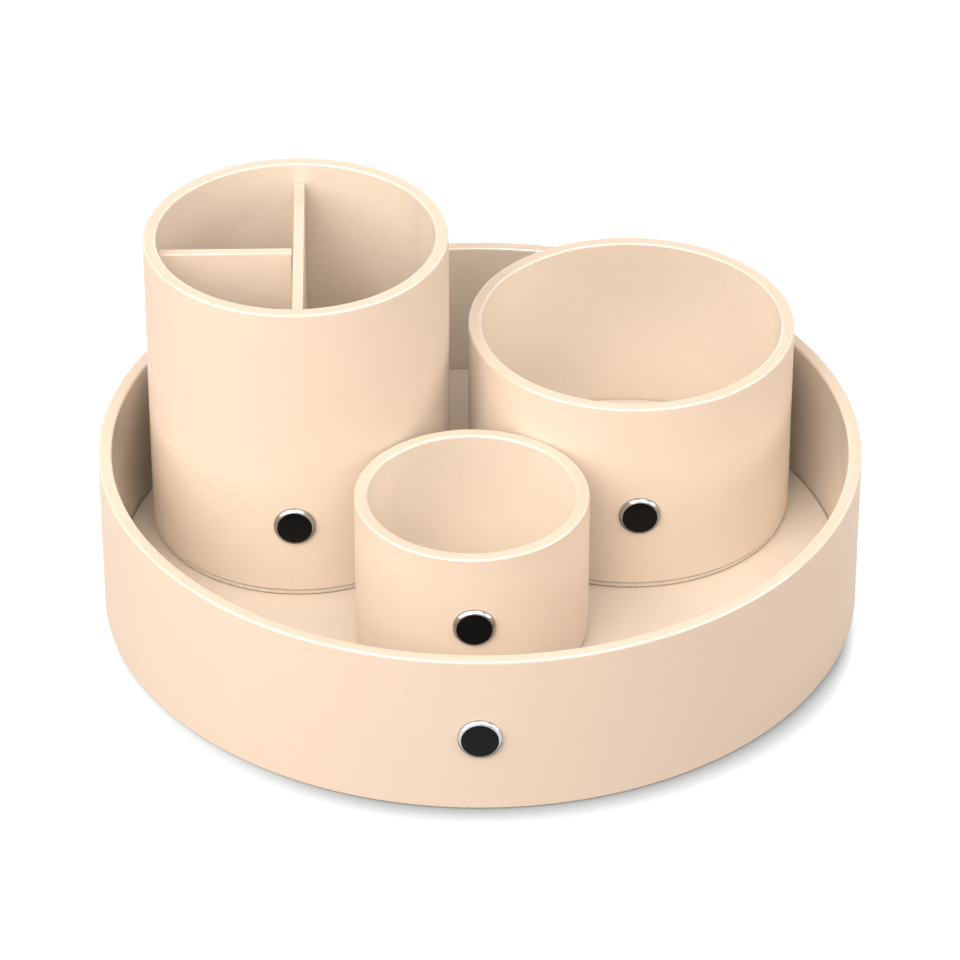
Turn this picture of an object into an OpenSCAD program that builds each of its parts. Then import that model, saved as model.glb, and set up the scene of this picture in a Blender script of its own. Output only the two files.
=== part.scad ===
// Round desk tray with three leather-covered cups that lift out of it.
// Millimetres, +Z up. The origin is at the middle of the tray's underside, and -Y is the front.

/* [Tray] */
// Height of the tray's leather wall, lower edge to rim
tray_h = 51.9; // [40:0.5:80]
// Height of the badge's centre above the tray's lower edge
tray_badge_z = 25.1; // [16:0.1:30]
// Diameter of the tray's badge
tray_badge_d = 13.1; // [10:0.1:18]
// Thickness of the tray's base board
tray_board_t = 4.3; // [3:0.1:8]
// Thickness of the tray's leather floor panel
tray_floor_t = 1.4; // [0.8:0.1:2.5]
// How far the leather is turned under the tray
turn_under_w = 18; // [8:0.5:30]
// How far the suede pad stands below the leather
under_pad_proud = 0.3; // [0.1:0.1:1]

/* [Tall cup] */
// Outside diameter of the tall cup
tall_d = 92; // [80:0.5:100]
// Height of the tall cup
tall_h = 100.3; // [60:0.1:130]
// Height of the badge's centre above the tall cup's foot
tall_badge_z = 25.7; // [18:0.1:45]
// Turn of the tall cup about its own axis, which sets where its badge faces
tall_turn = -0.4; // [-20:0.1:20]

/* [Wide cup] */
// Outside diameter of the wide cup
wide_d = 99.5; // [80:0.5:108]
// Height of the wide cup
wide_h = 64.9; // [45:0.1:100]
// Height of the badge's centre above the wide cup's foot
wide_badge_z = 26.9; // [18:0.1:34]
// Turn of the wide cup about its own axis, which sets where its badge faces
wide_turn = 2.2; // [-20:0.1:20]

/* [Small cup] */
// Outside diameter of the small cup
small_d = 69.8; // [56:0.2:80]
// Height of the small cup
small_h = 48.7; // [40:0.1:80]
// Height of the badge's centre above the small cup's foot
small_badge_z = 24.8; // [18:0.1:28]
// Turn of the small cup about its own axis, which sets where its badge faces
small_turn = 1.2; // [-20:0.1:20]

/* [Places of the cups] */
// Direction of the tall cup from the tray's middle, from +X
tall_direction = 152.9; // [120:0.1:170]
// Angle between the tall and wide cups, seen from the tray's middle: the wider it is, the smaller the tray
big_cup_angle = 115.1; // [100:0.1:150]
// Gap between the tray's wall and the tall and wide cups
wall_gap = 2.8; // [1:0.1:8]
// Gap between the tall and wide cups
big_cup_gap = 6.1; // [1:0.1:12]
// Gap between the small cup and the tall cup
tall_small_gap = 1; // [0.4:0.1:6]
// Gap between the small cup and the wide cup
wide_small_gap = 0.5; // [0.4:0.1:6]

/* [Walls] */
// Thickness of the outside leather
leather_t = 0.9; // [0.8:0.1:1.4]
// Thickness of the rigid core of every wall
core_t = 2.2; // [2:0.1:4]
// Thickness of the leather lining
lining_t = 0.7; // [0.4:0.1:1.2]
// Room for glue between two curved layers
glue_gap = 0.1; // [0.08:0.01:0.2]
// Rounding of the rims' two edges
rim_edge_r = 0.75; // [0.3:0.05:0.8]
// Rounding of the leather's lower edge
lower_edge_r = 0.4; // [0.1:0.05:0.7]

/* [Floors of the cups] */
// Thickness of a cup's base pad
pad_t = 2.1; // [1:0.1:4]
// How far the raw edge of a base pad stands inside the wall
pad_inset = 0.25; // [0:0.05:1]
// Thickness of the base board of the tall and wide cups
cup_board_t = 3.8; // [2.5:0.1:6]
// Thickness of the small cup's base board
small_board_t = 2.3; // [1.5:0.1:6]
// Thickness of a cup's floor lining
cup_floor_t = 1.3; // [0.6:0.1:2]
// Gap round a floor panel
floor_gap = 0.3; // [0.1:0.05:1]

/* [Divider] */
// Thickness of a divider panel with its cover
divider_t = 3.2; // [2.5:0.1:6]
// Thickness of the leather cover of a divider panel
divider_cover_t = 0.8; // [0.5:0.05:1.1]
// How far the panels end below the tall cup's rim
divider_drop = 6.5; // [2:0.1:30]
// Gap between a panel's end and the wall
divider_end_gap = 0.7; // [0.2:0.05:1.5]
// Gap between the cross panel and the long panel
divider_joint_gap = 0.35; // [0.1:0.05:1]
// How far the long panel stands right of the cup's middle
long_divider_shift = 0.7; // [-6:0.1:6]
// How far the cross panel stands behind the cup's middle
cross_divider_shift = 1.3; // [-10:0.1:10]
// Turn of both panels in the tall cup
divider_turn = 1.6; // [-10:0.1:10]
// Rounding of a panel's upright edges
divider_edge_r = 0.5; // [0.1:0.05:0.7]

/* [Badges] */
// Diameter of a cup's badge
cup_badge_d = 12.7; // [10:0.1:14]
// Straight side of a bezel above the leather
bezel_side_h = 0.3; // [0:0.05:1]
// Rounding of a bezel's front edge
bezel_edge_r = 0.95; // [0.5:0.05:1.2]
// Flat lip between a bezel's rounding and its inlay
bezel_lip_w = 0.1; // [0.05:0.01:0.5]
// Play between a bezel and the hole in the leather
bezel_play = 0.1; // [0.05:0.01:0.3]
// Depth of the flat seat cut into the core for a bezel
badge_seat_depth = 0.3; // [0.2:0.05:0.5]
// Thickness of the enamel inlay at its edge
inlay_t = 0.7; // [0.4:0.05:0.8]
// Height of the inlay's crown above its edge
inlay_crown = 0.25; // [0.1:0.05:0.6]
// Play round the inlay
inlay_play = 0.05; // [0.02:0.01:0.1]
// Diameter of a bezel's post
post_d = 3; // [2:0.1:4]
// Play between a post and its bore through the core
post_play = 0.1; // [0.05:0.01:0.3]
// Diameter of the push-on washer
washer_d = 8; // [6:0.1:9]
// Thickness of the washer
washer_t = 0.5; // [0.3:0.05:0.5]
// Play between the washer and the post
washer_play = 0.05; // [0.02:0.01:0.1]
// Depth of the recess for the washer, at its middle
washer_recess_depth = 0.8; // [0.6:0.05:1]
// Play round the washer in its recess
washer_room = 0.3; // [0.1:0.05:0.6]

/* [Hidden] */
$fn = 96;
// Sides of the full circle that an inlay's crown is a small piece of
crown_sides = 2880;
// How far a cutting shape runs past what it cuts
overrun = 0.5;
wall_t = leather_t + glue_gap + core_t + glue_gap + lining_t;

tall_r = tall_d / 2;
wide_r = wide_d / 2;
small_r = small_d / 2;

// Levels of the tray, from the desk upwards
tray_foot_z = under_pad_proud;
tray_board_z = tray_foot_z + leather_t;
tray_floor_z = tray_board_z + tray_board_t;
tray_top_z = tray_floor_z + tray_floor_t;

// The tall and wide cups stand the same gap from the tray's wall. The triangle of their middles and the tray's
// middle gives how far out they stand, and so the tray's size.
big_cup_span = tall_r + big_cup_gap + wide_r;
reach_step = tall_r - wide_r;
span_term = (big_cup_span ^ 2 - reach_step ^ 2) / (1 - cos(big_cup_angle));
tall_reach = (sqrt(reach_step ^ 2 + 2 * span_term) - reach_step) / 2;
wide_reach = tall_reach + reach_step;
wide_direction = tall_direction - big_cup_angle;
tall_place = tall_reach * [cos(tall_direction), sin(tall_direction)];
wide_place = wide_reach * [cos(wide_direction), sin(wide_direction)];
tray_inner_r = tall_reach + tall_r + wall_gap;
tray_r = tray_inner_r + wall_t;

// The small cup nestles in front of the other two
small_to_tall = tall_r + tall_small_gap + small_r;
small_to_wide = wide_r + wide_small_gap + small_r;
to_wide = (wide_place - tall_place) / big_cup_span;
small_along = (small_to_tall ^ 2 - small_to_wide ^ 2 + big_cup_span ^ 2) / (2 * big_cup_span);
small_across = sqrt(small_to_tall ^ 2 - small_along ^ 2);
small_place = tall_place + small_along * to_wide + small_across * [to_wide.y, -to_wide.x];

// Levels of a cup, from its own foot upwards
cup_board_z = pad_t;
cup_floor_z = cup_board_z + cup_board_t;
cup_inside_z = cup_floor_z + cup_floor_t;
small_floor_z = cup_board_z + small_board_t;

// Divider panels of the tall cup
divider_top_z = tall_h - divider_drop;
divider_h = divider_top_z - cup_inside_z;
tall_inner_r = tall_r - wall_t;
long_divider_l = 2 * (tall_inner_r - divider_end_gap);
cross_divider_x0 = divider_end_gap - tall_inner_r;
cross_divider_x1 = long_divider_shift - divider_t / 2 - divider_joint_gap;
cross_divider_l = cross_divider_x1 - cross_divider_x0;

// A badge, measured outwards from its seat in the core
badge_sink = leather_t + glue_gap + badge_seat_depth;
bezel_side_top = badge_sink + bezel_side_h;
bezel_front = bezel_side_top + bezel_edge_r;
inlay_floor = bezel_front - inlay_t;
post_l = core_t - badge_seat_depth - glue_gap;
washer_seat = core_t - badge_seat_depth - washer_recess_depth;

// Colours, as shares of full red, green and blue
beige_leather = [0.97, 0.85, 0.73];
lining_leather = [0.94, 0.81, 0.69];
raw_leather = [0.82, 0.69, 0.56];
board_grey = [0.66, 0.61, 0.55];
suede_beige = [0.8, 0.69, 0.58];
chrome_grey = [0.86, 0.87, 0.89];
enamel_black = [0.03, 0.03, 0.035];
steel_grey = [0.62, 0.63, 0.65];

// Places and turns a vessel's pieces, drawn on its own axis with its foot at zero
module in_tray() {
    translate([0, 0, tray_foot_z]) children();
}

module in_tall_cup() {
    translate([tall_place.x, tall_place.y, tray_top_z]) rotate([0, 0, tall_turn]) children();
}

module in_wide_cup() {
    translate([wide_place.x, wide_place.y, tray_top_z]) rotate([0, 0, wide_turn]) children();
}

module in_small_cup() {
    translate([small_place.x, small_place.y, tray_top_z]) rotate([0, 0, small_turn]) children();
}

// Puts a badge's piece, drawn from its seat along +Z, on the front of a wall
module on_badge_seat(wall_r, badge_z) {
    translate([0, badge_sink - wall_r, badge_z]) rotate([90, 0, 0]) children();
}

module disc(r, z, t) {
    translate([0, 0, z]) cylinder(r = r, h = t);
}

module ring(outer_r, inner_r, z, h) {
    difference() {
        translate([0, 0, z]) cylinder(r = outer_r, h = h);
        translate([0, 0, z - overrun]) cylinder(r = inner_r, h = h + 2 * overrun);
    }
}

// Quarter of a disc, its corner at the origin
module quarter(r) {
    intersection() {
        circle(r = r);
        square(r);
    }
}

// Section of the outside leather, with its rim turned in over the core
module leather_section(r, foot_z, h) {
    wall_top = h - rim_edge_r;
    inner_r = r - wall_t;
    translate([r - leather_t, foot_z + lower_edge_r]) square([leather_t, wall_top - foot_z - lower_edge_r]);
    translate([r - leather_t, foot_z]) square([leather_t - lower_edge_r, h - leather_t - foot_z]);
    translate([r - lower_edge_r, foot_z + lower_edge_r]) mirror([0, 1]) quarter(lower_edge_r);
    translate([inner_r, h - leather_t]) square([wall_t, leather_t - rim_edge_r]);
    translate([inner_r + rim_edge_r, h - leather_t]) square([wall_t - 2 * rim_edge_r, leather_t]);
    translate([r - rim_edge_r, wall_top]) quarter(rim_edge_r);
    translate([inner_r + rim_edge_r, wall_top]) mirror([1, 0]) quarter(rim_edge_r);
}

module outer_leather(r, foot_z, h, badge_d, badge_z) {
    difference() {
        rotate_extrude() leather_section(r, foot_z, h);
        on_badge_seat(r, badge_z) cylinder(d = badge_d + 2 * bezel_play, h = badge_sink + overrun);
    }
}

// Rigid ring, with a flat seat, a bore and a washer's recess behind the badge
module wall_core(r, foot_z, h, badge_d, badge_z) {
    core_r = r - leather_t - glue_gap;
    difference() {
        ring(core_r, core_r - core_t, foot_z, h - leather_t - foot_z);
        on_badge_seat(r, badge_z) {
            cylinder(d = badge_d + 2 * bezel_play, h = badge_sink);
            translate([0, 0, -core_t - overrun]) cylinder(d = post_d + 2 * post_play, h = core_t + 2 * overrun);
            translate([0, 0, -washer_seat - core_t]) cylinder(d = washer_d + 2 * washer_room, h = core_t);
        }
    }
}

module wall_lining(r, foot_z, h) {
    ring(r - wall_t + lining_t, r - wall_t, foot_z, h - leather_t - foot_z);
}

module base_board(r, foot_z, t) {
    disc(r - wall_t + lining_t, foot_z, t);
}

module floor_panel(r, foot_z, t) {
    disc(r - wall_t - floor_gap, foot_z, t);
}

module badge_bezel(badge_d) {
    r = badge_d / 2;
    inlay_r = r - bezel_edge_r - bezel_lip_w;
    rotate_extrude() {
        square([r, bezel_side_top]);
        square([inlay_r, inlay_floor]);
        translate([inlay_r, 0]) square([bezel_lip_w, bezel_front]);
        translate([r - bezel_edge_r, bezel_side_top]) quarter(bezel_edge_r);
    }
    translate([0, 0, -post_l]) cylinder(d = post_d, h = post_l + inlay_floor);
}

// Enamel disc with a low crown, a small piece of a large ball
module badge_inlay(badge_d) {
    r = badge_d / 2 - bezel_edge_r - bezel_lip_w - inlay_play;
    crown_r = (r ^ 2 + inlay_crown ^ 2) / (2 * inlay_crown);
    rotate_extrude() intersection() {
        translate([0, inlay_floor]) square([r, inlay_t + inlay_crown]);
        translate([0, inlay_floor + inlay_t + inlay_crown - crown_r]) circle(r = crown_r, $fn = crown_sides);
    }
}

module badge_washer() {
    ring(washer_d / 2, post_d / 2 + washer_play, -washer_seat - washer_t, washer_t);
}

// Outline of a divider panel from above, its left end at the origin
module panel_outline(l, t, edge_r) {
    translate([0, edge_r - t / 2]) square([l, t - 2 * edge_r]);
    translate([edge_r, -t / 2]) square([l - 2 * edge_r, t]);
    for (x = [edge_r, l - edge_r], y = [edge_r - t / 2, t / 2 - edge_r])
        translate([x, y]) circle(r = edge_r);
}

module divider_board(l) {
    translate([divider_cover_t, divider_cover_t - divider_t / 2, cup_inside_z])
        cube([l - 2 * divider_cover_t, divider_t - 2 * divider_cover_t, divider_h - divider_cover_t]);
}

module divider_cover(l) {
    difference() {
        translate([0, 0, cup_inside_z]) linear_extrude(divider_h) panel_outline(l, divider_t, divider_edge_r);
        divider_board(l);
        translate([0, 0, -overrun]) divider_board(l);
    }
}

module at_long_divider() {
    in_tall_cup() rotate([0, 0, divider_turn])
        translate([long_divider_shift, -long_divider_l / 2, 0]) rotate([0, 0, 90]) children();
}

module at_cross_divider() {
    in_tall_cup() rotate([0, 0, divider_turn]) translate([cross_divider_x0, cross_divider_shift, 0]) children();
}

// Tray
module tray_wall_core() {
    color(board_grey) in_tray() wall_core(tray_r, leather_t, tray_h, tray_badge_d, tray_badge_z);
}

module tray_base_board() {
    color(board_grey) in_tray() base_board(tray_r, leather_t, tray_board_t);
}

module tray_outer_leather() {
    color(beige_leather) in_tray() {
        outer_leather(tray_r, 0, tray_h, tray_badge_d, tray_badge_z);
        ring(tray_r - lower_edge_r, tray_r - turn_under_w, 0, leather_t);
    }
}

module tray_wall_lining() {
    color(lining_leather) in_tray() wall_lining(tray_r, leather_t + tray_board_t, tray_h);
}

module tray_floor_leather() {
    color(lining_leather) in_tray() floor_panel(tray_r, leather_t + tray_board_t, tray_floor_t);
}

module tray_under_pad() {
    color(suede_beige) disc(tray_r - turn_under_w - floor_gap, 0, tray_board_z);
}

module tray_badge_bezel() {
    color(chrome_grey) in_tray() on_badge_seat(tray_r, tray_badge_z) badge_bezel(tray_badge_d);
}

module tray_badge_inlay() {
    color(enamel_black) in_tray() on_badge_seat(tray_r, tray_badge_z) badge_inlay(tray_badge_d);
}

module tray_badge_washer() {
    color(steel_grey) in_tray() on_badge_seat(tray_r, tray_badge_z) badge_washer();
}

// Tall cup
module tall_cup_core() {
    color(board_grey) in_tall_cup() wall_core(tall_r, cup_board_z, tall_h, cup_badge_d, tall_badge_z);
}

module tall_cup_base_board() {
    color(board_grey) in_tall_cup() base_board(tall_r, cup_board_z, cup_board_t);
}

module tall_cup_outer_leather() {
    color(beige_leather) in_tall_cup() outer_leather(tall_r, cup_board_z, tall_h, cup_badge_d, tall_badge_z);
}

module tall_cup_wall_lining() {
    color(lining_leather) in_tall_cup() wall_lining(tall_r, cup_floor_z, tall_h);
}

module tall_cup_floor_lining() {
    color(lining_leather) in_tall_cup() floor_panel(tall_r, cup_floor_z, cup_floor_t);
}

module tall_cup_base_pad() {
    color(raw_leather) in_tall_cup() disc(tall_r - pad_inset, 0, pad_t);
}

module tall_cup_badge_bezel() {
    color(chrome_grey) in_tall_cup() on_badge_seat(tall_r, tall_badge_z) badge_bezel(cup_badge_d);
}

module tall_cup_badge_inlay() {
    color(enamel_black) in_tall_cup() on_badge_seat(tall_r, tall_badge_z) badge_inlay(cup_badge_d);
}

module tall_cup_badge_washer() {
    color(steel_grey) in_tall_cup() on_badge_seat(tall_r, tall_badge_z) badge_washer();
}

module long_divider_board() {
    color(board_grey) at_long_divider() divider_board(long_divider_l);
}

module long_divider_cover() {
    color(beige_leather) at_long_divider() divider_cover(long_divider_l);
}

module cross_divider_board() {
    color(board_grey) at_cross_divider() divider_board(cross_divider_l);
}

module cross_divider_cover() {
    color(beige_leather) at_cross_divider() divider_cover(cross_divider_l);
}

// Wide cup
module wide_cup_core() {
    color(board_grey) in_wide_cup() wall_core(wide_r, cup_board_z, wide_h, cup_badge_d, wide_badge_z);
}

module wide_cup_base_board() {
    color(board_grey) in_wide_cup() base_board(wide_r, cup_board_z, cup_board_t);
}

module wide_cup_outer_leather() {
    color(beige_leather) in_wide_cup() outer_leather(wide_r, cup_board_z, wide_h, cup_badge_d, wide_badge_z);
}

module wide_cup_wall_lining() {
    color(lining_leather) in_wide_cup() wall_lining(wide_r, cup_floor_z, wide_h);
}

module wide_cup_floor_lining() {
    color(lining_leather) in_wide_cup() floor_panel(wide_r, cup_floor_z, cup_floor_t);
}

module wide_cup_base_pad() {
    color(raw_leather) in_wide_cup() disc(wide_r - pad_inset, 0, pad_t);
}

module wide_cup_badge_bezel() {
    color(chrome_grey) in_wide_cup() on_badge_seat(wide_r, wide_badge_z) badge_bezel(cup_badge_d);
}

module wide_cup_badge_inlay() {
    color(enamel_black) in_wide_cup() on_badge_seat(wide_r, wide_badge_z) badge_inlay(cup_badge_d);
}

module wide_cup_badge_washer() {
    color(steel_grey) in_wide_cup() on_badge_seat(wide_r, wide_badge_z) badge_washer();
}

// Small cup
module small_cup_core() {
    color(board_grey) in_small_cup() wall_core(small_r, cup_board_z, small_h, cup_badge_d, small_badge_z);
}

module small_cup_base_board() {
    color(board_grey) in_small_cup() base_board(small_r, cup_board_z, small_board_t);
}

module small_cup_outer_leather() {
    color(beige_leather) in_small_cup() outer_leather(small_r, cup_board_z, small_h, cup_badge_d, small_badge_z);
}

module small_cup_wall_lining() {
    color(lining_leather) in_small_cup() wall_lining(small_r, small_floor_z, small_h);
}

module small_cup_floor_lining() {
    color(lining_leather) in_small_cup() floor_panel(small_r, small_floor_z, cup_floor_t);
}

module small_cup_base_pad() {
    color(raw_leather) in_small_cup() disc(small_r - pad_inset, 0, pad_t);
}

module small_cup_badge_bezel() {
    color(chrome_grey) in_small_cup() on_badge_seat(small_r, small_badge_z) badge_bezel(cup_badge_d);
}

module small_cup_badge_inlay() {
    color(enamel_black) in_small_cup() on_badge_seat(small_r, small_badge_z) badge_inlay(cup_badge_d);
}

module small_cup_badge_washer() {
    color(steel_grey) in_small_cup() on_badge_seat(small_r, small_badge_z) badge_washer();
}

tray_wall_core();
tray_base_board();
tray_outer_leather();
tray_wall_lining();
tray_floor_leather();
tray_under_pad();
tray_badge_bezel();
tray_badge_inlay();
tray_badge_washer();
tall_cup_core();
tall_cup_base_board();
tall_cup_outer_leather();
tall_cup_wall_lining();
tall_cup_floor_lining();
tall_cup_base_pad();
tall_cup_badge_bezel();
tall_cup_badge_inlay();
tall_cup_badge_washer();
long_divider_board();
long_divider_cover();
cross_divider_board();
cross_divider_cover();
wide_cup_core();
wide_cup_base_board();
wide_cup_outer_leather();
wide_cup_wall_lining();
wide_cup_floor_lining();
wide_cup_base_pad();
wide_cup_badge_bezel();
wide_cup_badge_inlay();
wide_cup_badge_washer();
small_cup_core();
small_cup_base_board();
small_cup_outer_leather();
small_cup_wall_lining();
small_cup_floor_lining();
small_cup_base_pad();
small_cup_badge_bezel();
small_cup_badge_inlay();
small_cup_badge_washer();
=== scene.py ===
# Round leather desk tray with three leather cups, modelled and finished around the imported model
import math
import bmesh
import bpy
from mathutils import Matrix, Vector


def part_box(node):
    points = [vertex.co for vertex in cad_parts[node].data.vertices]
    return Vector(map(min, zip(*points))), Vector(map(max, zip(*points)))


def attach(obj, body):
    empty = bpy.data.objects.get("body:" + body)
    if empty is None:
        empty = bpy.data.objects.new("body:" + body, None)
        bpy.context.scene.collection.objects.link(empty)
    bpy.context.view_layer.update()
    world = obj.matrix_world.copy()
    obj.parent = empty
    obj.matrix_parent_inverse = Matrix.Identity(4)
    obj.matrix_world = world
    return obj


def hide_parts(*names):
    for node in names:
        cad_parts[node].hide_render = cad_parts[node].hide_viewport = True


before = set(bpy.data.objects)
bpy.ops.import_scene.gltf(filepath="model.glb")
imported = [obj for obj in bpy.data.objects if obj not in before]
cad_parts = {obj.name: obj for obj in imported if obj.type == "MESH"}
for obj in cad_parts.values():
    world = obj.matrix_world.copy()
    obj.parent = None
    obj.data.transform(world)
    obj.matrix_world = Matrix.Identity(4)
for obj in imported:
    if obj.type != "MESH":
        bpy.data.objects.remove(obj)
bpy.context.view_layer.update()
bpy.ops.object.select_all(action="DESELECT")

mm = 0.001
hair = 0.02 * mm  # places closer than this count as the same


# Camera, at the photograph's viewing angle

cameraSetup = {
    "lens": 195.0,
    "sensor": 36,
    "pitch": 33.827,  # degrees below the horizon
    "place": (0, -1.309763, 0.915117),
    "nearest": 0.05,
}


def addCamera():
    bpy.ops.object.camera_add(location=cameraSetup["place"])
    camera = bpy.context.active_object
    camera.name = "photoCamera"
    camera.rotation_euler = (math.radians(90 - cameraSetup["pitch"]), 0, 0)
    camera.data.lens = cameraSetup["lens"]
    camera.data.sensor_width = cameraSetup["sensor"]
    camera.data.clip_start = cameraSetup["nearest"]
    bpy.context.scene.camera = camera
    camera.select_set(False)


addCamera()
bpy.context.scene.view_settings.view_transform = "Standard"
print("camera set")


# Short forms for shader nodes, for the studio and for the finishes

def putInto(tree, socket, value):  # a socket takes another node's output or a plain value
    if isinstance(value, bpy.types.NodeSocket):
        tree.links.new(value, socket)
    else:
        socket.default_value = value


def addNode(tree, kind, settings=None, **values):
    # settings are the node's own, and values go into its sockets, by name or as i and a number
    node = tree.nodes.new("ShaderNode" + kind)
    for key, value in (settings or {}).items():
        setattr(node, key, value)
    for key, value in values.items():
        byNumber = key[0] == "i" and key[1:].isdigit()
        putInto(tree, node.inputs[int(key[1:]) if byNumber else key.replace("_", " ")], value)
    return node


def noise(tree, place, scale, detail=2.0, roughness=0.5, distortion=0.0):
    return addNode(tree, "TexNoise", Vector=place, Scale=scale, Detail=detail, Roughness=roughness,
                   Distortion=distortion).outputs["Fac"]


def cells(tree, place, scale):
    return addNode(tree, "TexVoronoi", Vector=place, Scale=scale).outputs["Distance"]


def ramp(tree, value, fromMin, fromMax, toMin=0.0, toMax=1.0, smooth=False):
    settings = {"interpolation_type": "SMOOTHSTEP"} if smooth else {}
    return addNode(tree, "MapRange", settings, Value=value, From_Min=fromMin, From_Max=fromMax,
                   To_Min=toMin, To_Max=toMax).outputs["Result"]


def sums(tree, operation, a, b):
    return addNode(tree, "Math", {"operation": operation}, i0=a, i1=b).outputs["Value"]


def times(tree, first, *others):
    for other in others:
        first = sums(tree, "MULTIPLY", first, other)
    return first


def onePlus(tree, value, share):  # 1 + value * share
    return addNode(tree, "Math", {"operation": "MULTIPLY_ADD"}, i0=value, i1=share, i2=1.0).outputs["Value"]


def oneLess(tree, value, share):  # 1 - value * share
    return sums(tree, "SUBTRACT", 1.0, times(tree, value, share))


def tint(tree, colour, value):  # multiplies a colour by a number that varies over the surface
    return addNode(tree, "VectorMath", {"operation": "SCALE"}, i0=colour, Scale=value).outputs["Vector"]


def blendColours(tree, share, first, second):
    # a Mix node has several sockets A and B, and these are the numbers of the colours
    return addNode(tree, "Mix", {"data_type": "RGBA"}, Factor=share, i6=first, i7=second).outputs[2]


# Soft studio light and a white floor

studio = {
    "world": 0.0,  # the softboxes alone light the object
    "floorSize": 9.0,
    "floorColour": (0.3, 0.3, 0.3, 1),
    "floorSeen": 0.75,  # colour of the floor as the camera sees it
    "floorGlow": 0.6,  # white that the camera sees even in the shadow
    "whiteFrom": 0.5,  # from here out the glow grows,
    "whiteAt": 1.2,  # until the floor ends in plain white
    "contactReach": 0.018,  # how far the dark line where the object stands runs out at the front
    "contactShade": 0.3,
    "contactOpen": 0.5,  # how open the floor still is right beside the object
    # the dark line weakens and narrows from one place to the next: axis, from, to, what is left there
    "weaker": (("Y", -0.045, -0.006, 0.0), ("X", -0.02, -0.125, 0.45)),
    "narrower": (("Y", -0.09, -0.02, 0.25),),
}
softboxes = {
    # name: degrees to the right of the front, degrees above the floor, width, height, brightness
    "keySoftbox": (-30, 46, 1.1, 1.0, 5.1),
    "leftSoftbox": (-60, 20, 0.9, 0.8, 4.3),
    "leftHighSoftbox": (-90, 45, 0.8, 0.8, 1.0),
    "rightSoftbox": (75, 20, 1.2, 0.8, 3.3),
    "rightHighSoftbox": (30, 45, 0.8, 0.8, 2.5),
    "topSoftbox": (60, 70, 0.8, 0.8, 1.8),
    "backSoftbox": (180, 20, 0.8, 0.8, 3.6),
    "backRightSoftbox": (140, 40, 0.8, 0.8, 1.2),
    "backLeftSoftbox": (-140, 40, 0.8, 0.8, 0.8),
}
softboxDistance = 1.6


def addSoftbox(name):
    side, height, width, depth, brightness = softboxes[name]
    turn, rise = math.radians(side), math.radians(height)
    way = Vector((math.sin(turn) * math.cos(rise), -math.cos(turn) * math.cos(rise), math.sin(rise)))
    bpy.ops.object.light_add(type="AREA", location=way * softboxDistance)
    lamp = bpy.context.active_object
    lamp.name = name
    lamp.rotation_euler = (-way).to_track_quat("-Z", "Y").to_euler()
    lamp.data.shape = "RECTANGLE"
    lamp.data.size = width
    lamp.data.size_y = depth
    lamp.data.energy = brightness * math.pi * width * depth
    lamp.select_set(False)


def seenDirectly(tree):  # 1 for rays from the camera, from gloss and through glass
    paths = addNode(tree, "LightPath").outputs
    share = paths["Is Camera Ray"]
    for ray in ("Is Glossy Ray", "Is Transmission Ray"):
        share = sums(tree, "MAXIMUM", share, paths[ray])
    return share


def addWorld():
    world = bpy.data.worlds.new("studioWorld")
    bpy.context.scene.world = world
    world.use_nodes = True
    tree = world.node_tree
    backdrop = tree.nodes["Background"].inputs
    backdrop["Color"].default_value = (1, 1, 1, 1)
    # the camera, gloss and glass see plain white
    putInto(tree, backdrop["Strength"], ramp(tree, seenDirectly(tree), 0, 1, studio["world"], 1))


def fadeAcross(tree, axes, steps, full):  # full, made smaller along the floor by each step
    kept = full
    for axis, start, end, share in steps:
        (low, lowShare), (high, highShare) = sorted([(start, 1), (end, share)])
        kept = times(tree, ramp(tree, axes[axis], low, high, lowShare, highShare, smooth=True), kept)
    return kept


def floorFinish():
    material = bpy.data.materials.new("studioFloor")
    material.use_nodes = True
    tree = material.node_tree
    tree.nodes.clear()
    place = addNode(tree, "TexCoord").outputs["Object"]
    axes = addNode(tree, "SeparateXYZ", Vector=place).outputs
    # close to the object the floor is darker than the lamps make it, as under a piece that stands on paper
    reach = fadeAcross(tree, axes, studio["narrower"], studio["contactReach"])
    openness = addNode(tree, "AmbientOcclusion", Distance=reach).outputs["AO"]
    dark = ramp(tree, openness, studio["contactOpen"], 1, studio["contactShade"], 1)
    strength = fadeAcross(tree, axes, studio["weaker"], 1)
    contact = addNode(tree, "Mix", Factor=strength, A=1, B=dark).outputs["Result"]
    # white for the camera, gloss and glass, and grey for the light that the floor hands back
    direct = seenDirectly(tree)
    distance = addNode(tree, "VectorMath", {"operation": "LENGTH"}, i0=place).outputs["Value"]
    white = ramp(tree, distance, studio["whiteFrom"], studio["whiteAt"], studio["floorGlow"], 1, smooth=True)
    seen = times(tree, contact, studio["floorSeen"])
    matt = addNode(tree, "BsdfDiffuse", Color=blendColours(tree, direct, studio["floorColour"], seen))
    glow = addNode(tree, "Emission", Strength=times(tree, direct, times(tree, contact, white)))
    both = addNode(tree, "AddShader", i0=matt.outputs["BSDF"], i1=glow.outputs["Emission"])
    addNode(tree, "OutputMaterial", Surface=both.outputs["Shader"])
    return material


def addFloor():
    bpy.ops.mesh.primitive_plane_add(size=studio["floorSize"])
    floor = bpy.context.active_object
    floor.name = "studioFloor"
    floor.data.materials.append(floorFinish())
    floor.select_set(False)


addWorld()
addFloor()
for softbox in softboxes:
    addSoftbox(softbox)
print("studio set")


# Small makers' moves, shared by all pieces

def middleOf(node):
    low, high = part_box(node)
    return (low + high) / 2


def radiusOf(node):
    low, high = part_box(node)
    return (high.x - low.x + high.y - low.y) / 4


def innerRadiusOf(node):
    middle = middleOf(node)
    return min(math.hypot(v.co.x - middle.x, v.co.y - middle.y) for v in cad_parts[node].data.vertices)


def awayFrom(place, middle):
    return math.hypot(place.x - middle.x, place.y - middle.y)


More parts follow.
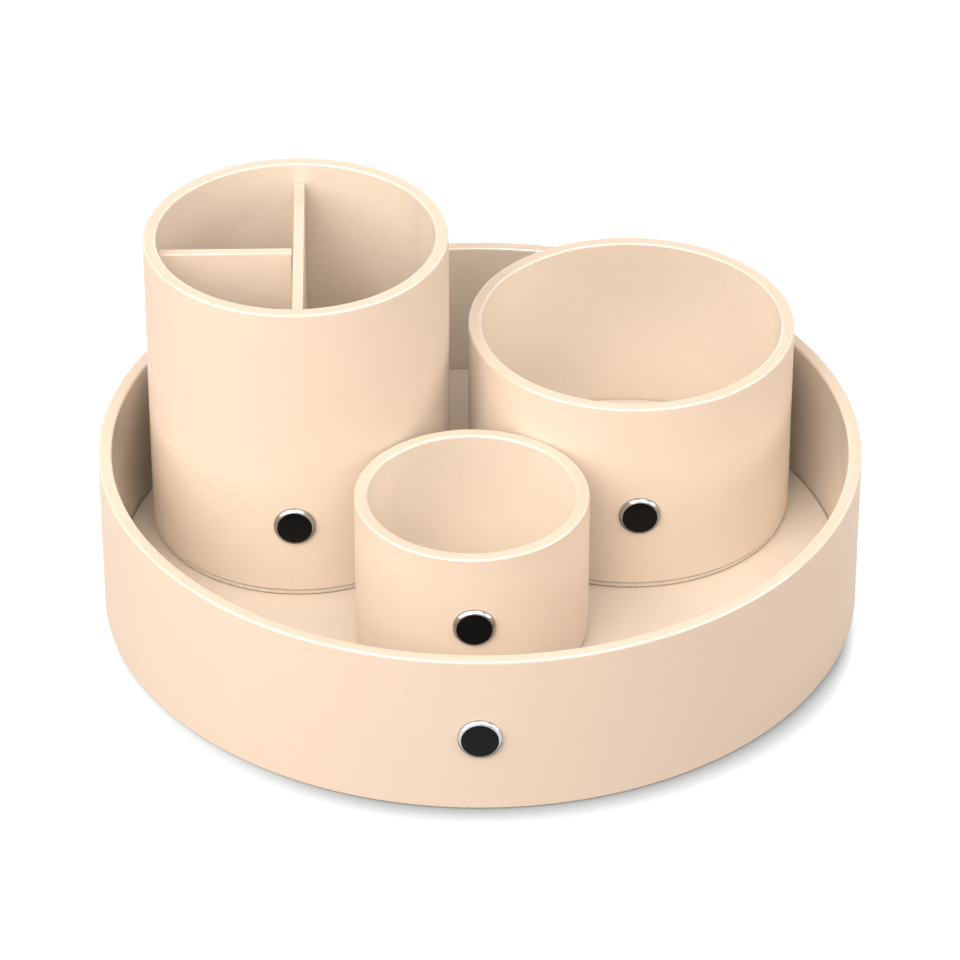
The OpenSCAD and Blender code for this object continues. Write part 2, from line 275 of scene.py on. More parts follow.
def meshInHand():
    return bmesh.from_edit_mesh(bpy.context.edit_object.data)


def pickFaces(wanted):  # wanted takes a face's middle and direction
    bpy.ops.mesh.select_mode(type="FACE")
    bpy.ops.mesh.select_all(action="DESELECT")
    for face in meshInHand().faces:
        if wanted(face.calc_center_median(), face.normal):
            face.select_set(True)
    bmesh.update_edit_mesh(bpy.context.edit_object.data)


nearlyLevel = 0.9  # how much of a level face's direction points up or down


def facesUp(place, direction):
    return direction.z > nearlyLevel


def facesDown(place, direction):
    return direction.z < -nearlyLevel


def facesUpOrDown(place, direction):
    return abs(direction.z) > nearlyLevel


def pickEdges(wanted):  # wanted takes the places of an edge's two ends
    bpy.ops.mesh.select_mode(type="EDGE")
    bpy.ops.mesh.select_all(action="DESELECT")
    for edge in meshInHand().edges:
        if wanted(edge.verts[0].co, edge.verts[1].co):
            edge.select_set(True)
    bmesh.update_edit_mesh(bpy.context.edit_object.data)


def onCircle(middle, radius, level):  # accepts the edges that run along a level circle
    def wanted(a, b):
        return all(abs(p.z - level) < hair and abs(awayFrom(p, middle) - radius) < hair for p in (a, b))
    return wanted


def either(*tests):
    return lambda a, b: any(test(a, b) for test in tests)


def roundEdges(wanted, radius, steps, profile=0.5):
    pickEdges(wanted)
    bpy.ops.mesh.bevel(offset=radius, segments=steps, profile=profile, affect="EDGES")


def cutLevel(level):  # a row of edges round the piece, at one height
    bpy.ops.mesh.select_all(action="SELECT")
    bpy.ops.mesh.bisect(plane_co=(0, 0, level), plane_no=(0, 0, 1))


def startName(name):
    piece = bpy.context.active_object
    piece.name = name
    piece.data.name = name
    bpy.ops.object.transform_apply(location=True, rotation=True, scale=True)
    bpy.ops.object.mode_set(mode="EDIT")
    return piece


def turnSection(name, middle, sides, section):
    # carries a circle round the corners of a closed section, which are pairs of radius and level
    radius, level = section[0]
    bpy.ops.mesh.primitive_circle_add(vertices=sides, radius=radius, location=(middle.x, middle.y, level))
    piece = startName(name)
    for nextRadius, nextLevel in section[1:]:
        bpy.ops.mesh.extrude_edges_move(TRANSFORM_OT_translate={"value": (0, 0, nextLevel - level)})
        share = nextRadius / radius
        bpy.ops.transform.resize(value=(share, share, 1), center_override=(middle.x, middle.y, nextLevel))
        radius, level = nextRadius, nextLevel
    pickEdges(either(onCircle(middle, *section[0]), onCircle(middle, *section[-1])))
    bpy.ops.mesh.bridge_edge_loops()
    bpy.ops.mesh.select_all(action="SELECT")
    bpy.ops.mesh.normals_make_consistent(inside=False)
    return piece


def addDisc(name, middle, radius, low, high, sides):
    bpy.ops.mesh.primitive_cylinder_add(vertices=sides, radius=radius, depth=high - low, end_fill_type="NGON",
                                        location=(middle.x, middle.y, (low + high) / 2))
    return startName(name)


smoothAngle = 35  # degrees, past which an edge stays sharp


def shadeByAngle(piece, angle=smoothAngle):
    bpy.context.view_layer.objects.active = piece
    piece.select_set(True)
    bpy.ops.object.shade_smooth_by_angle(angle=math.radians(angle))
    piece.select_set(False)


def leaveEdit(piece, angle=smoothAngle):
    bpy.ops.mesh.select_all(action="DESELECT")
    bpy.ops.object.mode_set(mode="OBJECT")
    shadeByAngle(piece, angle)


def applyModifier(piece, modifier):
    bpy.ops.object.select_all(action="DESELECT")
    bpy.context.view_layer.objects.active = piece
    piece.select_set(True)
    bpy.ops.object.modifier_apply(modifier=modifier.name)
    piece.select_set(False)


def roughen(piece, size, depth, amount, wanted):
    # small uneven shape on the points that wanted accepts, from a clouds pattern
    clouds = bpy.data.textures.new(piece.name, type="CLOUDS")
    clouds.noise_scale = size
    clouds.noise_depth = depth
    group = piece.vertex_groups.new(name="rough")
    group.add([v.index for v in piece.data.vertices if wanted(v)], 1, "REPLACE")
    rough = piece.modifiers.new("rough", "DISPLACE")
    rough.texture = clouds
    rough.texture_coords = "LOCAL"
    rough.strength = amount
    rough.mid_level = 0.5
    rough.vertex_group = "rough"
    applyModifier(piece, rough)


def cutHole(piece, cutter):
    hole = piece.modifiers.new("hole", "BOOLEAN")
    hole.operation = "DIFFERENCE"
    hole.solver = "EXACT"
    hole.object = cutter
    applyModifier(piece, hole)
    bpy.data.objects.remove(cutter)


def markEdges(piece):
    # writes how much each point stands on a rounding, for the wear on edges
    edge = piece.data.attributes.new("edge", "FLOAT", "POINT")
    for point, value in zip(piece.data.vertices, edge.data):
        tilt = point.normal.z ** 2
        value.value = 4 * tilt * (1 - tilt)  # 1 half way round, 0 on level and on upright faces


def markByLevel(piece, name, share):  # share gives a point's value from its height
    mark = piece.data.attributes.get(name) or piece.data.attributes.new(name, "FLOAT", "POINT")
    for point, value in zip(piece.data.vertices, mark.data):
        value.value = share(point.co.z)


def settle(piece, body, slot, material, *nodes):
    # a finished piece gets its finish, its body and the CAD nodes that it stands for
    piece.data.materials.clear()
    piece.data.materials.append(material)
    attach(piece, body)
    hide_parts(*nodes)


# Effects that more than one finish uses, as shader node groups

def newGroup(name, inputs, outputs):
    group = bpy.data.node_groups.new(name, "ShaderNodeTree")
    for socketName, kind, value in inputs:
        socket = group.interface.new_socket(name=socketName, in_out="INPUT", socket_type=kind)
        if value is not None:
            socket.default_value = value
    for socketName, kind in outputs:
        group.interface.new_socket(name=socketName, in_out="OUTPUT", socket_type=kind)
    ends = group.nodes.new("NodeGroupInput"), group.nodes.new("NodeGroupOutput")
    return group, ends[0].outputs, ends[1].inputs


noiseSpan = (0.3, 0.7)  # most of a noise pattern lies between these values

hidePattern = {
    # scale, in features to a metre, and with a noise its depth of detail
    "slow": (22.0, 3.0),
    "cloudy": (150.0, 3.0),
    "pores": 230.0,
    "poreClusters": (75.0, 1.0),
    "polish": (60.0, 4.0),
    "creases": 1500.0,
    "pebble": (420.0, 3.0),
    # how strong each is
    "slowTone": 0.6,
    "cloudyTone": 0.4,
    "poreEdge": (0.035, 0.085),  # where a pore begins and ends to fade, as distances from its middle
    "poreClusterSpan": (0.5, 0.62),
    "polishChange": 0.03,
    "wornPaler": 0.03,
    "wornGlossier": 0.05,
    "poreDuller": 0.4,
    "creaseWidth": 0.6,
    "creaseHeight": 0.22,
    "pebbleHeight": 0.5,
    "poreHeight": -1.2,
}


def makeHideGroup():
    # smooth dyed hide: slow changes of tone, sparse dark pores, and a fine grain
    group, given, result = newGroup("hideSurface", [
        ("Vector", "NodeSocketVector", None), ("Colour", "NodeSocketColor", (0.9, 0.7, 0.5, 1)),
        ("Mottle", "NodeSocketFloat", 0.04), ("Pores", "NodeSocketFloat", 0.25),
        ("Roughness", "NodeSocketFloat", 0.35), ("Wear", "NodeSocketFloat", 0.0)], [
        ("Colour", "NodeSocketColor"), ("Roughness", "NodeSocketFloat"), ("Height", "NodeSocketFloat")])
    place, wear = given["Vector"], given["Wear"]
    slow = noise(group, place, *hidePattern["slow"])
    cloudy = noise(group, place, *hidePattern["cloudy"])
    slowTone, cloudyTone = hidePattern["slowTone"], hidePattern["cloudyTone"]
    mottled = sums(group, "ADD", ramp(group, slow, *noiseSpan, -slowTone, slowTone),
                   ramp(group, cloudy, *noiseSpan, -cloudyTone, cloudyTone))
    tone = onePlus(group, mottled, given["Mottle"])
    # pores: tiny dark dots, most of them switched off by a second pattern
    dots = cells(group, place, hidePattern["pores"])
    dots = ramp(group, dots, *hidePattern["poreEdge"], 1.0, 0.0, smooth=True)
    chosen = noise(group, place, *hidePattern["poreClusters"])
    chosen = ramp(group, chosen, *hidePattern["poreClusterSpan"], smooth=True)
    pores = times(group, dots, chosen, given["Pores"])
    shade = times(group, tone, sums(group, "SUBTRACT", 1.0, pores))
    worn = onePlus(group, wear, hidePattern["wornPaler"])
    group.links.new(tint(group, given["Colour"], times(group, shade, worn)), result["Colour"])
    # gloss: slightly uneven polish, glossier on worn edges, dull in the pores
    change = hidePattern["polishChange"]
    polish = ramp(group, noise(group, place, *hidePattern["polish"]), *noiseSpan, -change, change)
    gloss = sums(group, "ADD", given["Roughness"], polish)
    gloss = sums(group, "SUBTRACT", gloss, times(group, wear, hidePattern["wornGlossier"]))
    gloss = sums(group, "ADD", gloss, times(group, pores, hidePattern["poreDuller"]))
    group.links.new(gloss, result["Roughness"])
    # height: fine creases between tiny cells, a faint pebble, and the pores' pits
    creases = ramp(group, cells(group, place, hidePattern["creases"]), 0.0, hidePattern["creaseWidth"],
                   0.0, hidePattern["creaseHeight"])
    pebble = times(group, noise(group, place, *hidePattern["pebble"]), hidePattern["pebbleHeight"])
    pits = times(group, pores, hidePattern["poreHeight"])
    group.links.new(sums(group, "ADD", sums(group, "ADD", creases, pebble), pits), result["Height"])
    return group


wearPattern = {"patches": (260.0, 4.0), "span": (0.35, 0.65), "least": 0.35}


def makeWearGroup():
    # where an edge is rubbed: the piece's own edge mark, broken up by a pattern
    group, given, result = newGroup("edgeWear", [
        ("Vector", "NodeSocketVector", None), ("Edge", "NodeSocketFloat", 0.0),
        ("Amount", "NodeSocketFloat", 1.0)], [
        ("Wear", "NodeSocketFloat")])
    uneven = noise(group, given["Vector"], *wearPattern["patches"])
    broken = ramp(group, uneven, *wearPattern["span"], wearPattern["least"], 1.0)
    group.links.new(times(group, given["Edge"], broken, given["Amount"]), result["Wear"])
    return group


fibrePattern = {
    "strands": (900.0, 4.0, 0.65, 1.6),  # scale, depth of detail, its strength, and how tangled they are
    "crumbs": 1300.0,
    "crumbSize": 0.7,
    "strandShare": 0.65,
    "crumbShare": 0.35,
    "deepSpan": (0.3, 0.65),  # how the mixed pattern goes from the deep colour to the other
    "roughness": (0.95, 0.75),
}


def makeFibreGroup():
    # short fibres and crumbs of cut leather, pressed board or suede
    group, given, result = newGroup("fibres", [
        ("Vector", "NodeSocketVector", None), ("Scale", "NodeSocketFloat", 1.0),
        ("Colour", "NodeSocketColor", (0.6, 0.5, 0.4, 1)),
        ("Deep Colour", "NodeSocketColor", (0.4, 0.3, 0.2, 1)), ("Contrast", "NodeSocketFloat", 0.5)], [
        ("Colour", "NodeSocketColor"), ("Roughness", "NodeSocketFloat"), ("Height", "NodeSocketFloat")])
    place = tint(group, given["Vector"], given["Scale"])
    strands = noise(group, place, *fibrePattern["strands"])
    crumbs = ramp(group, cells(group, place, fibrePattern["crumbs"]), 0.0, fibrePattern["crumbSize"])
    mix = sums(group, "ADD", times(group, strands, fibrePattern["strandShare"]),
               times(group, crumbs, fibrePattern["crumbShare"]))
    share = ramp(group, mix, *fibrePattern["deepSpan"], smooth=True)
    share = oneLess(group, sums(group, "SUBTRACT", 1.0, share), given["Contrast"])
    group.links.new(blendColours(group, share, given["Deep Colour"], given["Colour"]), result["Colour"])
    group.links.new(ramp(group, strands, *noiseSpan, *fibrePattern["roughness"]), result["Roughness"])
    group.links.new(mix, result["Height"])
    return group


scuffPattern = {
    "stretch": (1.0, 1.0, 9.0),  # squeezes the noise into hairlines
    "turn": (0.5, 0.3, 0.9),
    "lines": (420.0, 3.0, 0.7),
    "lineSpan": (0.55, 0.8),
    "haze": (240.0, 3.0),
    "hazeSpan": (0.35, 0.7),
    "specks": 900.0,
    "speckEdge": (0.03, 0.09),
    "speckClusters": (180.0, 1.0),
    "speckClusterSpan": (0.56, 0.66),
}


def makeScuffGroup():
    # fine dust and hairline marks on metal and enamel
    group, given, result = newGroup("fineScuffs", [
        ("Vector", "NodeSocketVector", None), ("Scale", "NodeSocketFloat", 1.0),
        ("Roughness", "NodeSocketFloat", 0.1), ("Amount", "NodeSocketFloat", 0.05)], [
        ("Roughness", "NodeSocketFloat"), ("Dust", "NodeSocketFloat"), ("Height", "NodeSocketFloat")])
    place = tint(group, given["Vector"], given["Scale"])
    stretched = addNode(group, "Mapping", Vector=place, Scale=scuffPattern["stretch"],
                        Rotation=scuffPattern["turn"]).outputs["Vector"]
    lines = noise(group, stretched, *scuffPattern["lines"])
    haze = noise(group, place, *scuffPattern["haze"])
    uneven = sums(group, "ADD", ramp(group, lines, *scuffPattern["lineSpan"]),
                  ramp(group, haze, *scuffPattern["hazeSpan"]))
    gloss = sums(group, "ADD", given["Roughness"], times(group, uneven, given["Amount"]))
    specks = cells(group, place, scuffPattern["specks"])
    specks = ramp(group, specks, *scuffPattern["speckEdge"], 1.0, 0.0, smooth=True)
    sparse = noise(group, place, *scuffPattern["speckClusters"])
    sparse = ramp(group, sparse, *scuffPattern["speckClusterSpan"])
    group.links.new(gloss, result["Roughness"])
    group.links.new(times(group, specks, sparse, given["Amount"]), result["Dust"])
    group.links.new(lines, result["Height"])
    return group


hideGroup = makeHideGroup()
wearGroup = makeWearGroup()
fibreGroup = makeFibreGroup()
scuffGroup = makeScuffGroup()


# Finishes

def newFinish(name):
    material = bpy.data.materials.new(name)
    material.use_nodes = True
    tree = material.node_tree
    place = addNode(tree, "TexCoord").outputs["Object"]
    return material, tree, tree.nodes["Principled BSDF"], place


def markOf(tree, name):  # a value that a piece's points carry
    return addNode(tree, "Attribute", {"attribute_name": name}).outputs["Fac"]


def useGroup(tree, group, **values):
    return addNode(tree, "Group", {"node_tree": group}, **values).outputs


def bump(tree, shader, height, distance):
    node = addNode(tree, "Bump", Height=height, Distance=distance, Strength=1.0)
    tree.links.new(node.outputs["Normal"], shader.inputs["Normal"])


leatherFinishes = {
    # name: colour, mottle, pores, roughness, depth of the grain, gloss
    "outerLeather": ((0.965, 0.735, 0.56, 1), 0.012, 0.18, 0.46, 0.006 * mm, 0.07),
    # the lining and floor leathers are paler copies of the outer leather: painted light that brightens the
    # insides
    "liningLeatherPaintedLight": ((0.97, 0.76, 0.59, 1), 0.012, 0.2, 0.42, 0.007 * mm, 0.14),
    "floorLeatherPaintedLight": ((0.97, 0.765, 0.597, 1), 0.012, 0.2, 0.42, 0.007 * mm, 0.14),
    "dividerLeather": ((0.95, 0.73, 0.555, 1), 0.012, 0.2, 0.46, 0.008 * mm, 0.08),
}
# what the leather hands on is paler, so the insides keep the walls' hue
leatherBounce = (0.77, 0.74, 0.69, 1)
rimDarker = 0.05  # how much darker the rims' level tops are
edgePolish = {"roughness": 0.12, "ior": 2.6}  # the coat on the pressed and polished edges


def makeLeather(name):
    colour, mottle, pores, roughness, grain, gloss = leatherFinishes[name]
    material, tree, shader, place = newFinish(name)
    edge = markOf(tree, "edge")
    wear = useGroup(tree, wearGroup, Vector=place, Edge=edge, Amount=1.0)["Wear"]
    hide = useGroup(tree, hideGroup, Vector=place, Colour=colour, Mottle=mottle, Pores=pores,
                    Roughness=roughness, Wear=wear)
    toned = tint(tree, hide["Colour"], oneLess(tree, markOf(tree, "rim"), rimDarker))
    bounced = addNode(tree, "LightPath").outputs["Is Diffuse Ray"]
    tree.links.new(blendColours(tree, bounced, toned, leatherBounce), shader.inputs["Base Color"])
    tree.links.new(hide["Roughness"], shader.inputs["Roughness"])
    tree.links.new(edge, shader.inputs["Coat Weight"])
    shader.inputs["Coat Roughness"].default_value = edgePolish["roughness"]
    shader.inputs["Coat IOR"].default_value = edgePolish["ior"]
    shader.inputs["Specular IOR Level"].default_value = gloss
    bump(tree, shader, hide["Height"], grain)
    return material


fibreFinishes = {
    # name: colour, deep colour, scale, contrast, depth, sheen, how much painted shade darkens the rounded
    # edges
    "rawLeatherEdge": ((0.95, 0.755, 0.59, 1), (0.74, 0.565, 0.415, 1), 1.0, 0.6, 0.12 * mm, 0.1, 0.85),
    "pressedBoard": ((0.50, 0.42, 0.33, 1), (0.27, 0.215, 0.16, 1), 0.55, 0.8, 0.06 * mm, 0.0, 0.0),
    "suede": ((0.66, 0.50, 0.375, 1), (0.47, 0.34, 0.245, 1), 0.8, 0.7, 0.15 * mm, 0.35, 0.0),
}


def makeFibrous(name):
    colour, deep, scale, contrast, depth, sheen, edgeShade = fibreFinishes[name]
    material, tree, shader, place = newFinish(name)
    fibre = useGroup(tree, fibreGroup, Vector=place, Scale=scale, Colour=colour, Deep_Colour=deep,
                     Contrast=contrast)
    # painted shade in the crevices along the pad's rounded edges
    kept = oneLess(tree, markOf(tree, "edge"), edgeShade)
    tree.links.new(tint(tree, fibre["Colour"], kept), shader.inputs["Base Color"])
    tree.links.new(fibre["Roughness"], shader.inputs["Roughness"])
    shader.inputs["Sheen Weight"].default_value = sheen
    bump(tree, shader, fibre["Height"], depth)
    return material


metalFinishes = {
    # name: colour, roughness, amount of marks, scale, depth
    "polishedBezel": ((0.47, 0.475, 0.49, 1), 0.2, 0.04, 1.0, 0.0003 * mm),
    "springSteel": ((0.55, 0.555, 0.57, 1), 0.28, 0.2, 0.7, 0.004 * mm),
}
metalWearAndPaintedShade = {
    "paintedLowerShade": 0.6,  # how much painted shade darkens the metal where it is marked so
    "rubbed": 0.6,  # how much of the edges is rubbed bright
    "dull": 0.93,  # the rest, against the rubbed metal
}


def makeMetal(name):
    colour, roughness, amount, scale, depth = metalFinishes[name]
    material, tree, shader, place = newFinish(name)
    scuffs = useGroup(tree, scuffGroup, Vector=place, Scale=scale, Roughness=roughness, Amount=amount)
    wear = useGroup(tree, wearGroup, Vector=place, Edge=markOf(tree, "edge"),
                    Amount=metalWearAndPaintedShade["rubbed"])["Wear"]
    dull = tuple(metalWearAndPaintedShade["dull"] * part for part in colour[:3]) + (1,)
    # painted shade on the bezel's lower side, from its mark
    kept = oneLess(tree, markOf(tree, "paintedLowerShade"), metalWearAndPaintedShade["paintedLowerShade"])
    tree.links.new(tint(tree, blendColours(tree, wear, dull, colour), kept), shader.inputs["Base Color"])
    tree.links.new(scuffs["Roughness"], shader.inputs["Roughness"])
    shader.inputs["Metallic"].default_value = 1.0
    bump(tree, shader, scuffs["Height"], depth)
    return material


enamelFinish = {
    "colour": (0.005, 0.005, 0.0055, 1),
    "dust": (0.09, 0.09, 0.09, 1),
    "roughness": 0.05,
    "marks": 0.04,
    "scale": 1.2,
    "depth": 0.0005 * mm,
    "gloss": 0.1,
}


def makeEnamel():
    material, tree, shader, place = newFinish("blackEnamel")
    scuffs = useGroup(tree, scuffGroup, Vector=place, Scale=enamelFinish["scale"],
                      Roughness=enamelFinish["roughness"], Amount=enamelFinish["marks"])
    colour = blendColours(tree, scuffs["Dust"], enamelFinish["colour"], enamelFinish["dust"])
    tree.links.new(colour, shader.inputs["Base Color"])
    tree.links.new(scuffs["Roughness"], shader.inputs["Roughness"])
    shader.inputs["Specular IOR Level"].default_value = enamelFinish["gloss"]
    bump(tree, shader, scuffs["Height"], enamelFinish["depth"])
    return material


finishes = {name: makeLeather(name) for name in leatherFinishes}
finishes.update({name: makeFibrous(name) for name in fibreFinishes})
finishes.update({name: makeMetal(name) for name in metalFinishes})
finishes["blackEnamel"] = makeEnamel()
print("finishes made:", ", ".join(finishes))


# The tray and the three cups, by the names of their bodies
vessels = {
    "tray": {"name": "tray", "sides": 384},
    "tall_cup": {"name": "tallCup", "sides": 288},
    "wide_cup": {"name": "wideCup", "sides": 288},
    "small_cup": {"name": "smallCup", "sides": 240},
}
cups = [vessel for vessel in vessels if vessel != "tray"]


# Leather wraps, each turned in over its rim

wrapLook = {
    "thickness": 0.9 * mm,
    "rimRound": 0.75 * mm,
    "footRound": 0.4 * mm,
    "roundSteps": 8,
    "guard": 0.5 * mm,  # narrow rows that keep the long faces flat beside a rounding
    "turnedUnder": 18 * mm,
    "holePlay": 0.03 * mm,
    "holeDepth": 6 * mm,
    "holeSides": 96,
}


def badgeDirection(vessel):
    across = middleOf(vessel + "_badge_bezel") - middleOf(vessel + "_base_board")
    return math.atan2(across.y, across.x)


def outwards(vessel):  # matrix that turns +Z to where the badge faces and +Y up
    quarter = math.pi / 2
    return Matrix.Rotation(badgeDirection(vessel) + quarter, 4, "Z") @ Matrix.Rotation(quarter, 4, "X")


def holeCutter(vessel):
    low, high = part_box(vessel + "_badge_bezel")
    middle = middleOf(vessel + "_badge_bezel")
    bpy.ops.mesh.primitive_cylinder_add(vertices=wrapLook["holeSides"], depth=wrapLook["holeDepth"],
                                        radius=(high.z - low.z) / 2 + wrapLook["holePlay"])
    cutter = bpy.context.active_object
    cutter.name = "holeCutter"
    cutter.data.transform(Matrix.Translation(middle) @ outwards(vessel))
    cutter.select_set(False)
    return cutter


def makeWrap(vessel):
    node = vessel + "_outer_leather"
    low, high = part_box(node)
    middle = middleOf(node)
    outer = radiusOf(node)
    inner = innerRadiusOf(vessel + "_wall_lining")
    thick, guard = wrapLook["thickness"], wrapLook["guard"]
    rimRound, footRound, steps = wrapLook["rimRound"], wrapLook["footRound"], wrapLook["roundSteps"]
    foot, top = low.z, high.z
    section = [(outer, foot), (outer, top), (inner, top), (inner, top - thick), (outer - thick, top - thick)]
    if vessel == "tray":
        under = outer - wrapLook["turnedUnder"]
        section += [(outer - thick, foot + thick), (under, foot + thick), (under, foot)]
    else:
        section += [(outer - thick, foot)]
    piece = turnSection(vessels[vessel]["name"] + "Wrap", middle, vessels[vessel]["sides"], section)
    for level in (top - rimRound - guard, foot + footRound + guard):
        cutLevel(level)
    roundEdges(either(onCircle(middle, outer, top), onCircle(middle, inner, top)), rimRound, steps)
    roundEdges(onCircle(middle, outer, foot), footRound, steps)
    leaveEdit(piece)
    markEdges(piece)  # before the hole is cut, whose edges aren't polished
    markByLevel(piece, "rim", lambda level: 1.0 if level > top - hair else 0.0)
    cutHole(piece, holeCutter(vessel))
    shadeByAngle(piece)  # again, so that the hole's edges are sharp
    settle(piece, vessel, "outer_leather", finishes["outerLeather"], node)


for vessel in vessels:
    makeWrap(vessel)
print("leather wraps made")


# Linings inside the walls, flush with the turned-in rims

liningLook = {"footRound": 0.2 * mm, "guard": 0.4 * mm, "steps": 3}


def makeLining(vessel):
    node = vessel + "_wall_lining"
    low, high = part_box(node)
    middle = middleOf(node)
    inner, outer = innerRadiusOf(node), radiusOf(node)
    piece = turnSection(vessels[vessel]["name"] + "Lining", middle, vessels[vessel]["sides"],
                        [(inner, low.z), (inner, high.z), (outer, high.z), (outer, low.z)])
    roundEdges(onCircle(middle, inner, low.z), liningLook["footRound"], liningLook["steps"])
    cutLevel(low.z + liningLook["footRound"] + liningLook["guard"])
    leaveEdit(piece)
    markEdges(piece)
    settle(piece, vessel, "lining_leather", finishes["liningLeatherPaintedLight"], node)


for vessel in vessels:
    makeLining(vessel)
print("linings made")


# Floor panels, base pads and the suede under the tray

panelLook = {
    # kind: rounding of the edge, size and height of its unevenness, how far it stands back
    "floor": {"round": 0.35 * mm, "grain": 3.0 * mm, "amount": 0.12 * mm, "back": 0.0},
    "pad": {"round": 0.5 * mm, "grain": 0.7 * mm, "amount": 0.22 * mm, "back": 0.15 * mm},
    "under": {"round": 0.25 * mm, "grain": 1.5 * mm, "amount": 0.1 * mm, "back": 0.0},
    "steps": 4,
    "rows": 4,
    "guard": 0.4 * mm,  # a ring that keeps the level faces flat beside the rounding
    "paintedShadeTop": 0.85,  # how dark the upper painted shade line is, against the lower one
    "paintedShadeReach": 1.3,  # how far a painted shade line runs, in roundings
    "detail": 2,
    "sides": 384,
    "padSides": 960,  # enough for the fibres of a cut edge
}


def makePanel(node, body, name, look, finish, slot, sides, roundBoth):
    low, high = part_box(node)
    middle = middleOf(node)
    radius = radiusOf(node) - look["amount"] / 2 - look["back"]
    piece = addDisc(name, middle, radius, low.z, high.z, sides)
    pickFaces(facesUpOrDown)
    bpy.ops.mesh.inset(thickness=look["round"] + panelLook["guard"])
    rounded = [onCircle(middle, radius, high.z)]
    if roundBoth:
        rounded.append(onCircle(middle, radius, low.z))
    roundEdges(either(*rounded), look["round"], panelLook["steps"])
    for row in range(1, panelLook["rows"]):
        cutLevel(low.z + look["round"] + row / panelLook["rows"] * (high.z - low.z - 2 * look["round"]))
    leaveEdit(piece)
    markEdges(piece)
    if roundBoth:  # painted shade darkens a raw pad's rounded edges, in the crevices under the wrap and on the floor, the lower one most
        reach, topShare = look["round"] * panelLook["paintedShadeReach"], panelLook["paintedShadeTop"]
        markByLevel(piece, "edge", lambda level: max(topShare * (1 - (high.z - level) / reach),
                                                     1 - (level - low.z) / reach, 0))
    sideFrom = radius - look["round"] / 2
    roughen(piece, look["grain"], panelLook["detail"], look["amount"],
            lambda point: awayFrom(point.co, middle) > sideFrom and high.z - point.co.z > hair)
    settle(piece, body, slot, finish, node)


panelSides = panelLook["sides"]
makePanel("tray_floor_leather", "tray", "trayFloor", panelLook["floor"], finishes["floorLeatherPaintedLight"],
          "lining_leather", panelSides, False)
makePanel("tray_under_pad", "tray", "trayUnderPad", panelLook["under"], finishes["suede"],
          "suede", panelSides, False)
for cup in cups:
    name = vessels[cup]["name"]
    makePanel(cup + "_floor_lining", cup, name + "Floor", panelLook["floor"], finishes["floorLeatherPaintedLight"],
              "lining_leather", panelSides, False)
    makePanel(cup + "_base_pad", cup, name + "Pad", panelLook["pad"], finishes["rawLeatherEdge"],
              "raw_leather", panelLook["padSides"], True)
print("floors and pads made")


# Leather covers of the two divider panels, open below

dividerLook = {
    "thickness": 0.8 * mm,
    "cornerRound": 0.5 * mm,
    "topRound": 0.3 * mm,
    "steps": 4,
    "guard": 0.4 * mm,
    "rows": 4,
}


def turnOf(node):  # how far a panel's own axes are turned from X and Y
    places = [v.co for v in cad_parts[node].data.vertices]
    middle = sum(places, Vector()) / len(places)
    offsets = [place - middle for place in places]
    angle = math.atan2(2 * sum(p.x * p.y for p in offsets), sum(p.x * p.x - p.y * p.y for p in offsets)) / 2
    return angle - round(angle / (math.pi / 2)) * math.pi / 2


def makeDivider(node, name):
    # the panel is made square to the axes and then turned as its node is
    turn = Matrix.Rotation(turnOf(node), 4, "Z")
    straight = [turn.inverted() @ v.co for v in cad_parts[node].data.vertices]
    low = Vector([min(place[axis] for place in straight) for axis in range(3)])
    high = Vector([max(place[axis] for place in straight) for axis in range(3)])
    size = high - low
    bpy.ops.mesh.primitive_cube_add(size=1, location=(low + high) / 2, scale=size)
    piece = startName(name)
    roundEdges(lambda a, b: abs(a.z - b.z) > size.z / 2, dividerLook["cornerRound"], dividerLook["steps"])
    roundEdges(lambda a, b: min(a.z, b.z) > high.z - hair, dividerLook["topRound"], dividerLook["steps"])
    pickFaces(facesDown)
    bpy.ops.mesh.delete(type="FACE")
    cutLevel(high.z - dividerLook["topRound"] - dividerLook["guard"])
    for row in range(1, dividerLook["rows"]):
        cutLevel(low.z + row / dividerLook["rows"] * size.z)
    leaveEdit(piece)
    piece.data.transform(turn)
    wall = piece.modifiers.new("wall", "SOLIDIFY")
    wall.thickness = dividerLook["thickness"]
    wall.offset = -1
    wall.use_even_offset = True
    applyModifier(piece, wall)
    markEdges(piece)
    settle(piece, "tall_cup", "divider_leather", finishes["dividerLeather"], node)


makeDivider("long_divider_cover", "longDividerCover")
makeDivider("cross_divider_cover", "crossDividerCover")
print("dividers made")


# Badges: a polished bezel with a post, and a plain glossy black inlay

badgeLook = {
    "sides": 192,
    "depth": 2.55 * mm,  # from the seat in the core to the bezel's front
    "edgeRound": 0.95 * mm,
    "roundSteps": 14,
    "profile": 0.36,  # flatter than round
    "lip": 0.1 * mm,
    "pocket": 0.7 * mm,
    "postRadius": 1.5 * mm,
    "crown": 0.25 * mm,
    "crownRings": 14,
    "smoothAngle": 60,
    "paintedShadeRise": 0.7,  # how soon the painted shade on the bezel deepens below the middle
}


def along(node, vessel):
    # least and most distance of a badge's piece from the vessel's axis, in the badge's direction
    axis = middleOf(vessel + "_base_board")
    angle = badgeDirection(vessel)
    way = Vector((math.cos(angle), math.sin(angle), 0))
    reach = [(v.co - axis).dot(way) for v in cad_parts[node].data.vertices]
    return min(reach), max(reach)


def placeBadge(piece, vessel, node, front):
    # moves a piece that was made at the origin, facing +Z, to its own wall
    angle = badgeDirection(vessel)
    axis = middleOf(vessel + "_base_board")
    level = middleOf(node).z
    place = Vector((axis.x + front * math.cos(angle), axis.y + front * math.sin(angle), level))
    piece.data.transform(Matrix.Translation(place) @ outwards(vessel))


